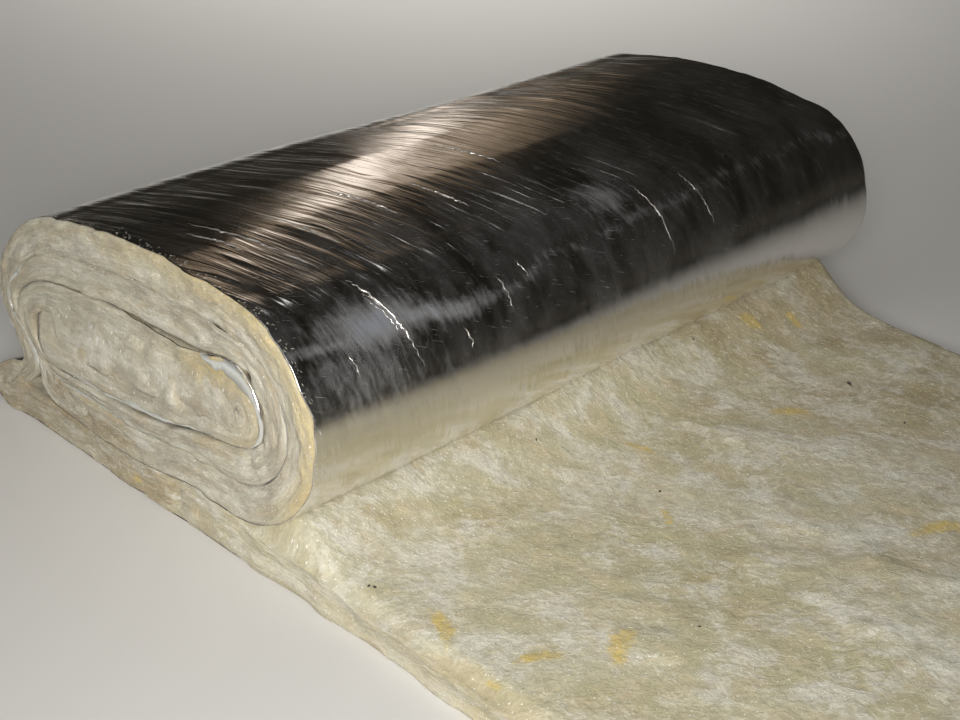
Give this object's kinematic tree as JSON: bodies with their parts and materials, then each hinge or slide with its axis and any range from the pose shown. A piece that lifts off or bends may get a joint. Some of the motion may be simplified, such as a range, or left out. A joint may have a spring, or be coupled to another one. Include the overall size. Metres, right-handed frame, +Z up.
{
  "type": "insulation roll",
  "caption": "Foil-faced mineral wool blanket on a flattened roll, partly unrolled wool side up; lies flat on the floor as building insulation.",
  "frame": {"origin": "on the floor, under the middle of the whole blanket as it lies", "axes": "+X along the blanket from the roll to its free end, +Y along the roll's length, +Z up"},
  "size_m": [2.6061, 1.2, 0.3716],
  "materials": {
    "wool": "loose fibre, matt",
    "foil": "thin foil laminate, wrinkled, glossy"
  },
  "bodies": {
    "root": {"wool_blanket": "wool", "foil_facing": "foil"}
  },
  "joints": []
}
